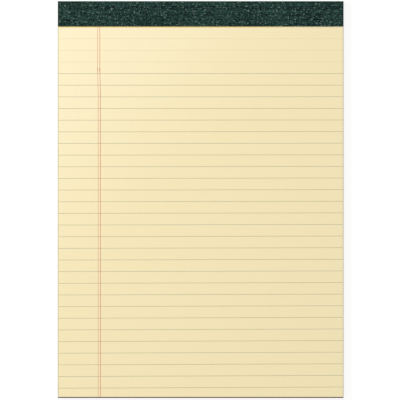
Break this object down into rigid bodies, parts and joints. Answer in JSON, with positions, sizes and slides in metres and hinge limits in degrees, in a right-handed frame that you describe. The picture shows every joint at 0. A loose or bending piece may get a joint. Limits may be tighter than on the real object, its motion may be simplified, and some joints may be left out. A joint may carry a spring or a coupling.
{
  "type": "legal pad",
  "caption": "Letter-size pad of yellow ruled sheets on a stiff board, bound across the head by a folded cloth-grained tape over hidden wire stitches.",
  "frame": {"origin": "middle of the pad's footprint, on the surface that the pad lies on", "axes": "+Y towards the bound head, +X to the right of the page, +Z out of the page"},
  "size_m": [0.216, 0.2998, 0.0058],
  "materials": {
    "ruled_paper": "matt",
    "grey_board": "matt",
    "binding_cloth": "satin",
    "stitching_wire": "satin"
  },
  "bodies": {
    "root": {"sheet_block": "ruled_paper", "backing_board": "grey_board", "binding_tape": "binding_cloth", "wire_stitch_1": "stitching_wire", "wire_stitch_2": "stitching_wire", "wire_stitch_3": "stitching_wire", "wire_stitch_4": "stitching_wire"}
  },
  "joints": []
}
